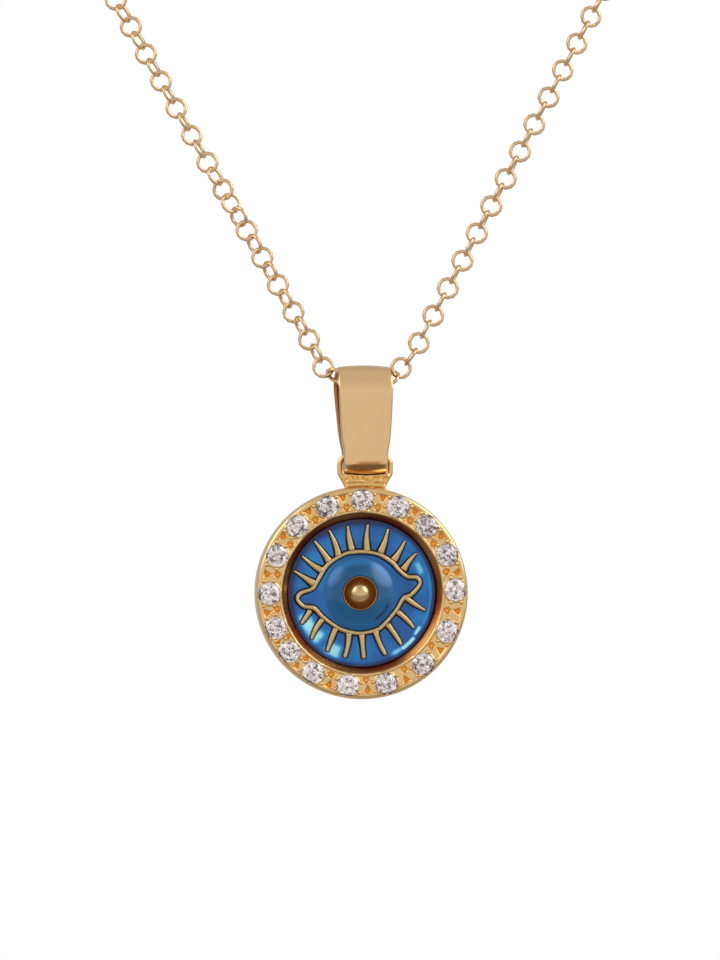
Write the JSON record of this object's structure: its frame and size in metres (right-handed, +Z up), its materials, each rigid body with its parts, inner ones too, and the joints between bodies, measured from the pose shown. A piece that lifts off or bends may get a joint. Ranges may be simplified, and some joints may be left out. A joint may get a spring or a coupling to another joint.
{
  "type": "evil eye pendant on a chain",
  "caption": "Round gold pendant with a blue glass evil eye in a ring of small stones, hung from a folded strap bail on a fine round-link chain that closes at the nape.",
  "frame": {"origin": "the nape of the neck, at the middle of the clasp", "axes": "+Z up along the hanging direction, -Y to the front where the eye looks, +X to the viewer's right"},
  "size_m": [0.115, 0.1068, 0.1544],
  "materials": {
    "chain_gold": "polished yellow gold wire",
    "bail_gold": "high-polish yellow gold strap",
    "setting_gold": "polished yellow gold with bright-cut pockets",
    "eye_gilding": "satin gilding, a little rubbed",
    "eye_glass": "glossy foil-backed blue glass",
    "white_stone": "faceted colourless stone"
  },
  "bodies": {
    "root": {"chain_left": "chain_gold", "chain_right": "chain_gold", "clasp": "chain_gold"},
    "bail": {"bail": "bail_gold"},
    "pendant": {"setting": "setting_gold", "glass": "eye_glass", "eye_lines": "eye_gilding", "pupil": "eye_gilding", "stone_01": "white_stone", "stone_02": "white_stone", "stone_03": "white_stone", "stone_04": "white_stone", "stone_05": "white_stone", "stone_06": "white_stone", "stone_07": "white_stone", "stone_08": "white_stone", "stone_09": "white_stone", "stone_10": "white_stone", "stone_11": "white_stone", "stone_12": "white_stone", "stone_13": "white_stone", "stone_14": "white_stone", "stone_15": "white_stone", "stone_16": "white_stone"}
  },
  "joints": [
    {"name": "bail_swing", "type": "hinge", "parent": "root", "child": "bail", "pos_m": [0, -0.104, -0.135], "axis": [1, 0, 0], "range_deg": [-90, 90]},
    {"name": "pendant_swing", "type": "hinge", "parent": "bail", "child": "pendant", "pos_m": [0, -0.104, -0.13926], "axis": [1, 0, 0], "range_deg": [-90, 90]}
  ]
}
